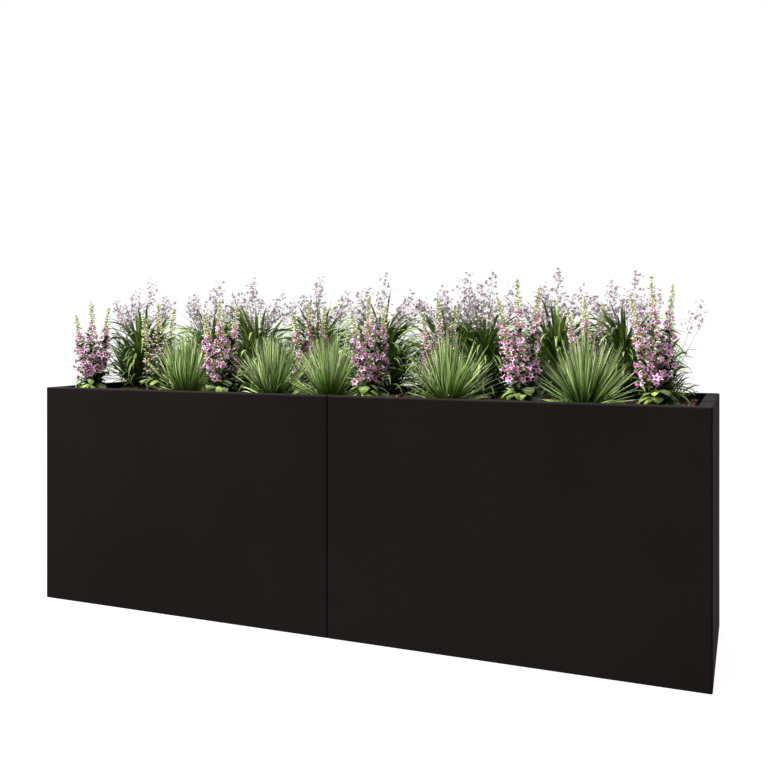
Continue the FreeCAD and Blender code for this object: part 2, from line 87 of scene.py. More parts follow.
class Surface:
    """One node material: a Principled shader, and short calls for the nodes that feed it."""

    def __init__(self, name, roughness, specular=0.5, metallic=0.0):
        self.material = bpy.data.materials.new(name)
        self.material.use_nodes = True
        self.nodes = self.material.node_tree.nodes
        self.shader = self.nodes["Principled BSDF"]
        self.shader.inputs["Roughness"].default_value = roughness
        self.shader.inputs["Specular IOR Level"].default_value = specular
        self.shader.inputs["Metallic"].default_value = metallic

    def link(self, source, target):
        self.material.node_tree.links.new(source, target)

    def place(self):
        return self.nodes.new("ShaderNodeTexCoord").outputs["Object"]

    def noise(self, scale, detail=3.0, roughness=0.5):
        node = self.nodes.new("ShaderNodeTexNoise")
        node.inputs["Scale"].default_value = scale
        node.inputs["Detail"].default_value = detail
        node.inputs["Roughness"].default_value = roughness
        self.link(self.place(), node.inputs["Vector"])
        return node.outputs["Fac"]

    def cells(self, scale):
        node = self.nodes.new("ShaderNodeTexVoronoi")
        node.inputs["Scale"].default_value = scale
        self.link(self.place(), node.inputs["Vector"])
        return node.outputs["Distance"]

    def ramp(self, factor, stops):
        """stops are (position, linear colour)."""
        node = self.nodes.new("ShaderNodeValToRGB")
        for element, (position, colour) in zip(node.color_ramp.elements, stops):
            element.position = position
            element.color = rgba(colour)
        self.link(factor, node.inputs["Fac"])
        return node.outputs["Color"]

    def range(self, factor, low, high):
        node = self.nodes.new("ShaderNodeMapRange")
        node.inputs["To Min"].default_value = low
        node.inputs["To Max"].default_value = high
        self.link(factor, node.inputs["Value"])
        return node.outputs["Result"]

    def tinted(self, colour, factor):
        node = self.nodes.new("ShaderNodeMix")
        node.data_type = "RGBA"
        node.blend_type = "MULTIPLY"
        node.inputs["Factor"].default_value = 1.0
        self.link(colour, node.inputs["A"])
        self.link(factor, node.inputs["B"])
        return node.outputs["Result"]

    def blended(self, colour, top, factor):
        """colour, and more of the colour top where factor is high."""
        node = self.nodes.new("ShaderNodeMix")
        node.data_type = "RGBA"
        self.link(colour, node.inputs["A"])
        node.inputs["B"].default_value = rgba(top)
        self.link(factor, node.inputs["Factor"])
        return node.outputs["Result"]

    def facing_up(self):
        """0 on upright faces and 1 on level ones."""
        parts = self.nodes.new("ShaderNodeSeparateXYZ")
        self.link(self.nodes.new("ShaderNodeTexCoord").outputs["Normal"], parts.inputs["Vector"])
        return parts.outputs["Z"]

    def tone(self):
        """The colour that the mesh itself carries."""
        node = self.nodes.new("ShaderNodeAttribute")
        node.attribute_name = "tone"
        return node.outputs["Color"]

    def bump(self, height, strength, distance):
        node = self.nodes.new("ShaderNodeBump")
        node.inputs["Strength"].default_value = strength
        node.inputs["Distance"].default_value = distance
        self.link(height, node.inputs["Height"])
        self.link(node.outputs["Normal"], self.shader.inputs["Normal"])

    def colour(self, socket):
        self.link(socket, self.shader.inputs["Base Color"])

    def rough(self, socket):
        self.link(socket, self.shader.inputs["Roughness"])


# ------------------------------------------------------------------ materials
def powder_coat():
    """Near-black warm anthracite powder coat: faint large patches, and a lighter colour on what faces up as a
    painted highlight of the top light.
    """
    coat = Surface("powder_coat", roughness=0.88, specular=0.02)
    patches = coat.ramp(coat.noise(1.6, 2.0), [(0.3, rgb(17, 14, 13)), (0.7, rgb(20, 17, 17))])
    # Painted highlight: faces that look up, like the rim top, blend to a lighter colour.
    coat.colour(coat.blended(patches, rgb(30, 28, 27), coat.facing_up()))
    coat.rough(coat.range(coat.noise(40.0), 0.84, 0.92))
    coat.bump(coat.noise(900.0, 2.0), 0.12, 0.0004)
    return coat.material


def galvanised():
    """Zinc coating with its flaky spangle."""
    zinc = Surface("galvanised", roughness=0.5, metallic=0.85)
    zinc.colour(zinc.ramp(zinc.cells(60.0), [(0.1, rgb(150, 153, 156)), (0.6, rgb(188, 190, 191))]))
    zinc.rough(zinc.range(zinc.noise(25.0), 0.38, 0.6))
    return zinc.material


def zinc_plated():
    plate = Surface("zinc_plated", roughness=0.35, metallic=0.95)
    plate.colour(plate.ramp(plate.noise(120.0), [(0.3, rgb(170, 170, 166)), (0.7, rgb(200, 200, 194))]))
    plate.bump(plate.noise(700.0), 0.1, 0.0002)
    return plate.material


def moulded(name, dark, light, roughness):
    """Plain moulded rubber or plastic with a fine grain."""
    mould = Surface(name, roughness=roughness, specular=0.3)
    mould.colour(mould.ramp(mould.noise(180.0), [(0.3, dark), (0.7, light)]))
    mould.bump(mould.noise(900.0), 0.15, 0.0002)
    return mould.material


def fleece(name, dark, light):
    """Needle-felted fleece: short fibres that lie every way."""
    felt = Surface(name, roughness=0.95, specular=0.1)
    felt.colour(felt.ramp(felt.noise(420.0, 6.0, 0.7), [(0.35, dark), (0.65, light)]))
    felt.bump(felt.noise(600.0, 6.0, 0.7), 0.6, 0.001)
    return felt.material


def bark_mulch():
    """Damp reddish bark chips, each its own shade."""
    bark = Surface("bark_mulch", roughness=0.85, specular=0.2)
    streaks = bark.ramp(bark.noise(160.0, 5.0, 0.65), [(0.3, rgb(150, 140, 135)), (0.7, rgb(255, 250, 245))])
    bark.colour(bark.tinted(bark.tone(), streaks))
    bark.bump(bark.noise(300.0, 5.0, 0.7), 0.5, 0.001)
    return bark.material


def potting_soil():
    earth = Surface("potting_soil", roughness=0.95, specular=0.1)
    earth.colour(earth.ramp(earth.noise(140.0, 6.0, 0.7), [(0.3, rgb(26, 16, 12)), (0.7, rgb(66, 41, 30))]))
    earth.bump(earth.noise(220.0, 6.0, 0.7), 0.7, 0.002)
    return earth.material


def foliage(name, roughness, specular):
    """Leaf or petal: the colours that the mesh carries, painted shade among them, with a fine mottle over
    them.
    """
    leaf = Surface(name, roughness=roughness, specular=specular)
    mottle = leaf.ramp(leaf.noise(90.0, 4.0), [(0.3, rgb(215, 215, 215)), (0.7, rgb(255, 255, 255))])
    leaf.colour(leaf.tinted(leaf.tone(), mottle))
    return leaf.material


# ------------------------------------------------------------------ meshes made of many small shapes
RIM_HIGH = 0.80
RIM_CLEARING = 0.05
SOFT_ZONE = 0.05
LONG_LIMITS = (1.152, 1.188)
DEEP_LIMITS = (0.252, 0.288)


def unit(vectors):
    return vectors / np.maximum(np.linalg.norm(vectors, axis=-1, keepdims=True), 1e-9)


def level(heading):
    """Level directions, one for each heading."""
    return np.stack([np.cos(heading), np.sin(heading), np.zeros_like(heading)], axis=1)


def spread(low, high, share):
    return low + (high - low) * share


def held_in(points):
    """Foliage pressed softly inside the liner, and a little wider above the rim."""
    above = np.clip((points[:, 2] - RIM_HIGH) / RIM_CLEARING, 0.0, 1.0)
    held = points.copy()
    for axis, (inner, outer) in enumerate((LONG_LIMITS, DEEP_LIMITS)):
        start = spread(inner, outer, above) - SOFT_ZONE
        reach = np.abs(points[:, axis])
        over = np.maximum(reach - start, 0.0)
        pressed = np.where(over > 0.0, start + SOFT_ZONE * (1.0 - np.exp(-over / SOFT_ZONE)), reach)
        held[:, axis] = np.sign(points[:, axis]) * pressed
    return held


class Growth:
    """Collects small shapes, with a colour at every point, and makes one mesh of them."""

    def __init__(self):
        self.points, self.colours, self.quads, self.count = [], [], [], 0

    def add(self, points, colours, quads):
        """points (N, 3), colours (N, 3), quads (M, 4) into these points."""
        self.points.append(points)
        self.colours.append(np.clip(colours, 0.0, 1.0))
        self.quads.append(quads + self.count)
        self.count += len(points)

    def add_grids(self, points, colours):
        """points and colours (B, rows, columns, 3): B separate curved sheets."""
        batch, rows, columns, _ = points.shape
        row, column = np.meshgrid(np.arange(rows - 1), np.arange(columns - 1), indexing="ij")
        first = (row * columns + column).ravel()
        quads = np.stack([first, first + 1, first + columns + 1, first + columns], axis=1)
        quads = (quads[None] + np.arange(batch)[:, None, None] * rows * columns).reshape(-1, 4)
        self.add(points.reshape(-1, 3), colours.reshape(-1, 3), quads)

    def piece(self, name, material, slot, node, smooth=True):
        """One mesh of everything collected, riding on the planter in place of a CAD node."""
        points = held_in(np.concatenate(self.points)).astype(np.float32)
        colours = np.concatenate(self.colours).astype(np.float32)
        quads = np.concatenate(self.quads).astype(np.int32)
        mesh = bpy.data.meshes.new(name)
        mesh.vertices.add(len(points))
        mesh.vertices.foreach_set("co", points.ravel())
        mesh.loops.add(quads.size)
        mesh.loops.foreach_set("vertex_index", quads.ravel())
        mesh.polygons.add(len(quads))
        mesh.polygons.foreach_set("loop_start", np.arange(0, quads.size, 4, dtype=np.int32))
        mesh.polygons.foreach_set("use_smooth", np.full(len(quads), smooth))
        mesh.update(calc_edges=True)
        tone = mesh.color_attributes.new("tone", "FLOAT_COLOR", "POINT")
        tone.data.foreach_set("color", np.c_[colours, np.ones(len(colours), np.float32)].ravel())
        mesh.validate()
        mesh.materials.append(material)
        item = bpy.data.objects.new(name, mesh)
        bpy.context.scene.collection.objects.link(item)
        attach(item, MAIN_BODY)
        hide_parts(node)


def bent_lines(base, heading, lean, droop, length, rows, curl):
    """Centre lines that start at base, lean from the vertical and bend over: (B, rows, 3).

    Also gives each line's tangents and the level direction across it.
    """
    share = np.linspace(0.0, 1.0, rows)
    angle = lean[:, None] + droop[:, None] * share[None] ** curl
    tangent = np.sin(angle)[..., None] * level(heading)[:, None] + np.cos(angle)[..., None] * UP
    middle = (tangent[:, 1:] + tangent[:, :-1]) / 2.0
    step = (length / (rows - 1))[:, None, None]
    line = np.concatenate([np.zeros((len(base), 1, 3)), np.cumsum(middle * step, axis=1)], axis=1)
    across = level(heading + math.pi / 2.0)
    return line + base[:, None], tangent, np.repeat(across[:, None], rows, axis=1)


def blades(growth, base, heading, lean, droop, length, width, outline, colours, fold=0.25, twist=0.0,
           columns=3, midrib=0.0, curl=1.6):
    """Leaves: bent_lines with width. outline is the width along the leaf, colours (B, rows, 3)."""
    rows = len(outline)
    line, tangent, across = bent_lines(base, heading, lean, droop, length, rows, curl)
    normal = unit(np.cross(across, tangent))
    turn = (np.broadcast_to(twist, len(base))[:, None] * np.linspace(0.0, 1.0, rows))[..., None]
    across, normal = (across * np.cos(turn) + normal * np.sin(turn),
                      normal * np.cos(turn) - across * np.sin(turn))
    side = np.linspace(-1.0, 1.0, columns)[None, None, :, None]
    half = (width[:, None] * outline[None] / 2.0)[..., None, None]
    points = line[:, :, None] + (across[:, :, None] * side + normal[:, :, None] * np.abs(side) * fold) * half
    growth.add_grids(points, colours[:, :, None] * (1.0 + midrib * (1.0 - np.abs(side))))


def leaning_line(base, reach, height, rows, bend=1.4):
    """A stem that ends height above its base and reach to the side of it: (rows, 3)."""
    share = np.linspace(0.0, 1.0, rows)[:, None]
    return base + UP * height * share + reach * share ** bend


def along(line, share):
    """Points at shares 0 to 1 of a line."""
    place = share * (len(line) - 1)
    low = np.clip(place.astype(int), 0, len(line) - 2)
    return line[low] + (line[low + 1] - line[low]) * (place - low)[:, None]


def stems(growth, line, radius, colours, sides=5):
    """Thin tubes along lines (B, rows, 3) with radius (rows) and colours (rows, 3)."""
    tangent = unit(np.gradient(line, axis=1))
    reference = np.where(np.abs(tangent[..., 2:3]) > 0.9, np.array([1.0, 0.0, 0.0]), UP)
    across = unit(np.cross(tangent, reference))
    other = np.cross(tangent, across)
    turn = np.linspace(0.0, FULL_TURN, sides + 1)[None, None, :, None]
    ring = across[:, :, None] * np.cos(turn) + other[:, :, None] * np.sin(turn)
    points = line[:, :, None] + ring * radius[None, :, None, None]
    growth.add_grids(points, np.broadcast_to(colours[None, :, None], points.shape))


def scatter(growth, shape, origin, axis, spin, size, tint):
    """Copies of one small shape, its +Z along axis, each turned by spin, scaled and tinted."""
    shape_points, shape_colours, quads = shape
    axis = unit(axis)
    reference = np.where(np.abs(axis[:, 2:3]) > 0.9, np.array([1.0, 0.0, 0.0]), UP)
    first = unit(np.cross(reference, axis))
    second = np.cross(axis, first)
    turned = first * np.cos(spin)[:, None] + second * np.sin(spin)[:, None]
    basis = np.stack([turned, np.cross(axis, turned), axis], axis=1)
    points = origin[:, None] + np.einsum("nk,bkj->bnj", shape_points, basis) * size[:, None, None]
    colours = shape_colours[None] * tint[:, None]
    copies = (quads[None] + np.arange(len(origin))[:, None, None] * len(shape_points)).reshape(-1, 4)
    growth.add(points.reshape(-1, 3), colours.reshape(-1, 3), copies)


def turned_shape(radii, heights, colours, sides, lobes=0, lobe_depth=0.0):
    """A small shape of revolution, one unit long, whose upper rows may be lobed."""
    rows = len(radii)
    turn = np.linspace(0.0, FULL_TURN, sides, endpoint=False)
    share = np.linspace(0.0, 1.0, rows) ** 3
    reach = np.asarray(radii)[:, None] * (1.0 + lobe_depth * share[:, None] * np.cos(lobes * turn)[None])
    points = np.stack([reach * np.cos(turn), reach * np.sin(turn),
                       np.repeat(np.asarray(heights)[:, None], sides, axis=1)], axis=-1)
    row, column = np.meshgrid(np.arange(rows - 1), np.arange(sides), indexing="ij")
    after = (column + 1) % sides
    quads = np.stack([row * sides + column, row * sides + after,
                      (row + 1) * sides + after, (row + 1) * sides + column], axis=-1).reshape(-1, 4)
    tones = np.repeat(np.asarray(colours)[:, None], sides, axis=1)
    return points.reshape(-1, 3), tones.reshape(-1, 3), quads


def petal_star(petals, inner, outer, cup):
    """A shallow star of separate petals, one unit across its points."""
    rows = ((0.05, 0.03, 0.0), (0.3, 0.19, 0.35), (0.42, 0.14, 0.8), (0.5, 0.03, 1.0))
    points, colours, quads = [], [], []
    for number in range(petals):
        turn = FULL_TURN * number / petals
        for reach, half, rise in rows:
            for side in (-1.0, 1.0):
                points.append((reach * math.cos(turn) - side * half * math.sin(turn),
                               reach * math.sin(turn) + side * half * math.cos(turn), rise * cup))
                colours.append(mixed(inner, outer, reach * 2.0))
        first = number * 2 * len(rows)
        for step in range(0, 2 * len(rows) - 2, 2):
            quads.append((first + step, first + step + 1, first + step + 3, first + step + 2))
    return np.array(points), np.array(colours), np.array(quads)


def standing_place(node):
    """The middle of a plant's foot, and its height."""
    low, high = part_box(node)
    return np.array([(low.x + high.x) / 2.0, (low.y + high.y) / 2.0, low.z]), high.z - low.z


# ------------------------------------------------------------------ foxglove-like flower clumps
CALYX, BELL_TUBE, BELL_LIP = (
    plant_colour(222, 216, 176), plant_colour(236, 112, 200), plant_colour(255, 234, 242))
BELL_THROAT = plant_colour(212, 74, 186)
BUD_LOW, BUD_TIP = plant_colour(214, 214, 166), plant_colour(238, 240, 208)
BUD_BLUSH = np.array([1.0, 0.90, 1.0])
SPIKE_STEM_LOW, SPIKE_STEM_HIGH = plant_colour(120, 140, 62), plant_colour(206, 204, 130)
CLUMP_LEAF_DARK, CLUMP_LEAF_LIGHT = plant_colour(44, 62, 22), plant_colour(176, 188, 98)
STEM_LEAF_DARK, STEM_LEAF_LIGHT = plant_colour(20, 32, 10), plant_colour(190, 204, 138)
BASAL_LEAF_DARK, BASAL_LEAF_LIGHT = plant_colour(26, 42, 12), plant_colour(158, 188, 86)
# Each spike: where its tip stands to the right and away, its foot from the middle, its height, its tone. The
# tone is painted light and shade: the spike's lower bells take it, darker under 1 and lighter over 1, and the
# right spike is the shaded one.
SPIKES = (
    (-0.009, 0.025, 0.004, 1.00, 1.06), (-0.066, 0.014, 0.012, 0.86, 1.12), (0.053, 0.041, 0.020, 0.94, 0.45),
)
SPIKE_MODEL_HEIGHT = 0.345
# How far each clump is in bloom, by its number; the others are in full bloom.
BLOOM = {6: 0.15}
# Bells and buds: how many, then from the lowest to the highest one their share of the spike's height,
# their distance from the stem and their size.
BELL_COUNT, BELL_SPAN, BELL_REACH, BELL_SIZE = 64, (0.22, 0.77), (0.031, 0.005), (0.0148, 0.0090)
BUD_COUNT, BUD_SPAN, BUD_REACH, BUD_SIZE = 118, (0.24, 0.995), (0.021, 0.0014), (0.0140, 0.0096)
CALYX_SIZE = 0.6
CALYX_SETBACK = 0.004
# Small leaves on a spike's stem: how many, lowest and highest share of the stem, length, width, tones.
# The crowded ones are dark and grow more the darker the spike's tone, and the shaded ones, dark leaves put in
# as painted shade, grow only on a spike whose tone is under full light.
FULL_LIGHT = 1.0
CROWDED_LEAVES = (46, 0.08, 0.62, 0.036, 0.012, (STEM_LEAF_DARK, CLUMP_LEAF_DARK))
SPARSE_LEAVES = (
    (12, 0.20, 0.70, 0.024, 0.006, (CLUMP_LEAF_LIGHT, STEM_LEAF_LIGHT)),
    (12, 0.08, 0.26, 0.066, 0.010, (CLUMP_LEAF_DARK, STEM_LEAF_LIGHT)),
)
SHADED_LEAVES = (70, 0.0, 0.36, 0.056, 0.015, (STEM_LEAF_DARK, STEM_LEAF_DARK * 1.8))
# Wide leaves at the foot, from the lowest to the highest one: length, height of the foot, lean.
BASAL_COUNT, BASAL_LENGTH, BASAL_FOOT, BASAL_LEAN = 20, (0.074, 0.066), (0.010, 0.050), (0.70, 0.95)

BELL_OUTSIDE = turned_shape(
    (0.08, 0.16, 0.21, 0.26, 0.42, 0.68), (0.0, 0.10, 0.35, 0.64, 0.84, 0.93),
    [CALYX, mixed(CALYX, BELL_TUBE, 0.7), BELL_TUBE, BELL_TUBE, mixed(BELL_TUBE, BELL_LIP, 0.4), BELL_LIP],
    sides=15, lobes=5, lobe_depth=0.44)
BELL_INSIDE = turned_shape(
    (0.10, 0.19, 0.38, 0.665), (0.30, 0.62, 0.82, 0.925),
    [BELL_THROAT * 0.5, BELL_THROAT, mixed(BELL_THROAT, BELL_LIP, 0.35), BELL_LIP],
    sides=15, lobes=5, lobe_depth=0.44)
BUD = turned_shape(
    (0.06, 0.22, 0.27, 0.20, 0.05), (0.0, 0.15, 0.45, 0.80, 1.0),
    [BUD_LOW * 0.7, BUD_LOW, BUD_LOW, BUD_TIP, BUD_TIP], sides=6)


def spike_bells(rng, green, bells, line, tone, bloom):
    """Open bells on the lower part of a spike, each on its pale calyx."""
    count = round(BELL_COUNT * bloom)
    rank = np.linspace(0.0, 1.0, count)
    turn = rng.uniform(0.0, FULL_TURN, count)
    outward = level(turn)
    share = spread(*BELL_SPAN, rank) + rng.normal(0.0, 0.02, count)
    reach = spread(*BELL_REACH, rank) * rng.uniform(0.1, 1.25, count)
    origin = along(line, share) + outward * reach[:, None]
    axis = outward + UP * spread(-0.3, 0.0, rank)[:, None] + rng.normal(0.0, 0.45, (count, 3))
    size = spread(*BELL_SIZE, rank) * rng.uniform(0.70, 1.12, count)
    spin = rng.uniform(0.0, FULL_TURN, count)
    # Painted shade: the lowest bells take the spike's tone, the highest ones full light.
    tint = (spread(tone, FULL_LIGHT, rank) * rng.uniform(0.82, 1.46, count))[:, None]
    tint = tint + rng.normal(0.0, 0.03, (count, 3))
    for shape in (BELL_OUTSIDE, BELL_INSIDE):
        scatter(bells, shape, origin, axis, spin, size, tint)
    scatter(green, BUD, origin - unit(axis) * CALYX_SETBACK, axis, spin, size * CALYX_SIZE, tint)


def spike_buds(rng, green, line):
    """Pale buds: crowded towards the tip, a few among the bells."""
    count = BUD_COUNT
    rank = np.linspace(0.0, 1.0, count) ** 0.85
    turn = np.arange(count) * GOLDEN_ANGLE + rng.normal(0.0, 0.3, count)
    outward = level(turn)
    share = np.clip(spread(*BUD_SPAN, rank) + rng.normal(0.0, 0.006, count), 0.0, 1.0)
    reach = spread(*BUD_REACH, rank) * rng.uniform(0.1, 1.1, count)
    origin = along(line, share) + outward * reach[:, None]
    axis = outward + UP * spread(-0.5, 0.9, rank)[:, None] + rng.normal(0.0, 0.3, (count, 3))
    size = spread(*BUD_SIZE, rank) * rng.uniform(0.7, 1.2, count)
    tint = rng.uniform(0.75, 1.25, (count, 1)) * mixed(BUD_BLUSH, np.ones(3), np.minimum(rank * 1.6, 1.0))
    scatter(green, BUD, origin, axis, turn, size, tint)


def stem_leaves(rng, green, line, count, low, high, length, width, tones):
    """Small pointed leaves on a stem, between two shares of its height."""
    outline = np.sin(np.linspace(0.12, math.pi, 8)) ** 0.8
    share = rng.uniform(low, high, count)
    shade = rng.uniform(0.0, 1.0, (count, 1)) * np.ones((1, len(outline)))
    blades(green, along(line, share), rng.uniform(0.0, FULL_TURN, count), rng.uniform(0.7, 1.3, count),
           rng.uniform(0.3, 1.0, count), length * rng.uniform(0.7, 1.2, count),
           width * rng.uniform(0.8, 1.2, count), outline, mixed(*tones, shade), midrib=0.2)


def basal_leaves(rng, green, base):
    """The wide soft leaves at the foot of a clump: they bend over and hang to the soil.

    Those on the right are darker, because they stand in the clump's own shade.
    """
    count = BASAL_COUNT
    share = np.linspace(0.0, 1.0, 12)
    outline = 0.12 + 0.88 * np.sin(share ** 0.85 * math.pi) ** 0.8
    outline[-1] = 0.03
    rank = np.linspace(0.0, 1.0, count)
    heading = np.arange(count) * GOLDEN_ANGLE + rng.normal(0.0, 0.3, count)
    length = spread(*BASAL_LENGTH, rank) * rng.uniform(0.85, 1.15, count)
    lit = spread(1.0, 0.1, np.clip(level(heading) @ RIGHT + 0.35, 0.0, 1.0))[:, None]
    shade = rng.uniform(0.2, 1.0, (count, 1)) * lit * spread(0.5, 1.0, np.minimum(share * 1.6, 1.0))
    foot = level(heading) * 0.006 + UP * spread(*BASAL_FOOT, rank)[:, None]
    blades(green, base + foot, heading, spread(*BASAL_LEAN, rank) + rng.normal(0.0, 0.15, count),
           rng.uniform(1.5, 2.2, count), length, length * rng.uniform(0.42, 0.58, count), outline,
           mixed(BASAL_LEAF_DARK, BASAL_LEAF_LIGHT, shade), columns=7, midrib=0.35,
           twist=rng.normal(0.0, 0.5, count), curl=0.9)


def flower_clump(node, number, green_material, bell_material):
    """Three spikes over a rosette of wide leaves."""
    rng = np.random.default_rng(SEED + number)
    centre, height = standing_place(node)
    green, bells = Growth(), Growth()
    scale = height / SPIKE_MODEL_HEIGHT
    for right, away, foot, share, tone in SPIKES:
        tip = (RIGHT * right + AWAY * away) * scale
        base = centre + unit(tip) * foot
        reach = tip - unit(tip) * foot
        rows = 16
        line = leaning_line(base, reach, height * share, rows, bend=1.0)
        line[1:-1] += rng.normal(0.0, 0.0008, (rows - 2, 3))
        stem_colours = mixed(SPIKE_STEM_LOW, SPIKE_STEM_HIGH, np.linspace(0.0, 1.0, rows))
        stems(green, line[None], np.linspace(0.0038, 0.0012, rows), stem_colours, sides=7)
        spike_bells(rng, green, bells, line, tone, BLOOM.get(number, 1.0))
        spike_buds(rng, green, line)
        # Painted shade: a spike whose tone is under full light gets more dark crowded leaves, and the dark
        # shaded ones.
        crowded, *rest = CROWDED_LEAVES
        stem_leaves(rng, green, line, round(crowded / tone), *rest)
        for kind in SPARSE_LEAVES:
            stem_leaves(rng, green, line, *kind)
        if tone < FULL_LIGHT:
            stem_leaves(rng, green, line, *SHADED_LEAVES)
    basal_leaves(rng, green, centre)
    green.piece(f"{node}_leaves", green_material, "flower_clump", node)
    bells.piece(f"{node}_bells", bell_material, "flower_clump", node)


# ------------------------------------------------------------------ grass tufts
GRASS_BASE, GRASS_MID, GRASS_TIP = (
    plant_colour(44, 72, 18), plant_colour(140, 184, 74), plant_colour(232, 242, 184))
BLADE_COUNT = 350
BLADE_WIDTH = (0.0029, 0.0053)
BLADE_LENGTH = (0.74, 1.03)
BLADE_BRIGHTNESS = (0.06, 1.50)
TUFT_FOOT = 0.030


def grass_tuft(node, number, material):
    """A spiky dome of narrow folded blades; splay is 0 for an upright blade and 1 for the flattest."""
    rng = np.random.default_rng(SEED + 100 + number)
    centre, height = standing_place(node)
    count, rows = BLADE_COUNT, 9
    heading = rng.uniform(0.0, FULL_TURN, count)
    splay = rng.uniform(0.0, 1.0, count)
    outermost = np.maximum(splay - 0.8, 0.0) * 5.0
    foot = TUFT_FOOT * np.sqrt(rng.uniform(0.0, 1.0, count)) * (0.4 + splay)
    share = np.linspace(0.0, 1.0, rows)
    outline = np.clip(1.12 - share ** 3.0 * 1.08, 0.03, 1.0)
    tip = np.clip(share * 1.6 - 0.5, 0.0, 1.0)[None] * rng.uniform(0.15, 1.0, (count, 1))
    low_part = mixed(GRASS_BASE, GRASS_MID, np.clip(share * 2.0, 0.0, 1.0))[None]
    colours = mixed(low_part, GRASS_TIP, tip) * rng.uniform(*BLADE_BRIGHTNESS, (count, 1, 1))
    growth = Growth()
    blades(growth, centre + level(heading) * foot[:, None], heading, splay * 0.98 + outermost * 0.4,
           rng.uniform(-0.05, 0.28, count) * (0.3 + splay),
           height * (1.17 - 0.36 * splay - 0.20 * outermost) * rng.uniform(*BLADE_LENGTH, count),
           rng.uniform(*BLADE_WIDTH, count), outline, colours, fold=0.45,
           twist=rng.normal(0.0, 0.7, count), curl=1.3)
    growth.piece(f"{node}_blades", material, "grass_tuft", node)


# ------------------------------------------------------------------ perennials
STRAP_DARK, STRAP_LIGHT = plant_colour(60, 88, 28), plant_colour(168, 200, 98)
FLORET_HEART, FLORET_RIM = plant_colour(180, 146, 168), plant_colour(255, 246, 250)
PANICLE_LOW, PANICLE_HIGH = plant_colour(110, 130, 72), plant_colour(200, 190, 186)
FLORET = petal_star(5, FLORET_HEART, FLORET_RIM, 0.16)
FLORET_SIZE = (0.0095, 0.0140)
FLORET_STRAY = 0.008
TWIGS = 13
TWIG_LENGTH = (0.040, 0.013)
LAST_TWIG = 0.985
PLUME_SHARE = 0.95
# A plant of this height has all its leaves and flowers. A smaller one has fewer, by these powers.
PERENNIAL_HEIGHT = 0.46
VIGOUR_POWER, LEAF_POWER, TWIG_POWER = 12, 0.4, 0.5
FEWEST_PLUMES = 2
# Kinds of leaf: how many, crown radius, highest foot, lean, droop, length, width, shade. The highest
# foot and the length are shares of the plant's height.
STRAP_KINDS = (
    (270, 0.040, 0.46, (0.25, 1.20), (0.5, 1.8), 0.42, 0.0112, 1.3),
    (56, 0.035, 0.10, (0.20, 0.60), (1.3, 2.6), 0.60, 0.0095, 1.4),
    (150, 0.060, 0.05, (0.15, 1.30), (0.3, 1.3), 0.50, 0.0110, 0.3),
    (40, 0.040, 0.22, (0.00, 0.60), (0.2, 1.0), 0.48, 0.0100, 1.2),
    (2, 0.004, 0.00, (0.00, 0.04), (0.0, 0.1), 0.74, 0.0220, 0.8),
)
# Flower stems, in the order in which a small plant keeps them: where the tip stands to the right and
# away, its share of the plant's height, the share of the stem at which the flowers start.
PLUMES = (
    (0.128, -0.02, 0.80, 0.74), (0.092, 0.01, 0.87, 0.72), (0.030, 0.00, 1.00, 0.74),
    (-0.030, 0.02, 0.90, 0.72), (-0.055, -0.02, 0.86, 0.72), (0.000, -0.03, 0.80, 0.74),
    (-0.120, 0.00, 0.76, 0.76), (0.065, 0.04, 0.76, 0.76), (-0.080, 0.03, 0.72, 0.78),
    (-0.085, -0.03, 0.80, 0.74), (0.045, -0.06, 0.68, 0.78), (-0.030, -0.07, 0.64, 0.80),
)


def panicle(rng, green, florets, base, reach, height, first_flower, count):
    """A thin stem whose upper part carries count side twigs with small flowers."""
    rows = 12
    line = leaning_line(base, reach, height, rows)
    stem_colours = mixed(PANICLE_LOW, PANICLE_HIGH, np.linspace(0.0, 1.0, rows))
    stems(green, line[None], np.linspace(0.0013, 0.0004, rows), stem_colours)
    joints = 4
    rank = np.linspace(0.0, 1.0, count)
    twig_length = spread(*TWIG_LENGTH, rank) * rng.uniform(0.6, 1.25, count)
    start = along(line, spread(first_flower, LAST_TWIG, rank))
    heading = np.arange(count) * GOLDEN_ANGLE + rng.uniform(0.0, FULL_TURN)
    twigs, _, _ = bent_lines(start, heading, rng.uniform(0.5, 1.0, count), rng.uniform(0.1, 0.7, count),
                             twig_length, joints, 1.0)
    stems(green, twigs, np.full(joints, 0.0004), np.broadcast_to(PANICLE_HIGH, (joints, 3)), sides=4)
    spots = np.concatenate([twigs[:, -1], twigs[:, -1], twigs[:, -2], twigs[:, -3]])
    spots = spots + rng.normal(0.0, FLORET_STRAY, spots.shape)
    axis = rng.normal(0.0, 1.0, spots.shape) + np.array([0.0, -0.5, 0.3])
    tint = rng.uniform(0.65, 1.1, (len(spots), 1)) + rng.normal(0.0, 0.02, spots.shape)
    scatter(florets, FLORET, spots, axis, rng.uniform(0.0, FULL_TURN, len(spots)),
            rng.uniform(*FLORET_SIZE, len(spots)), tint)


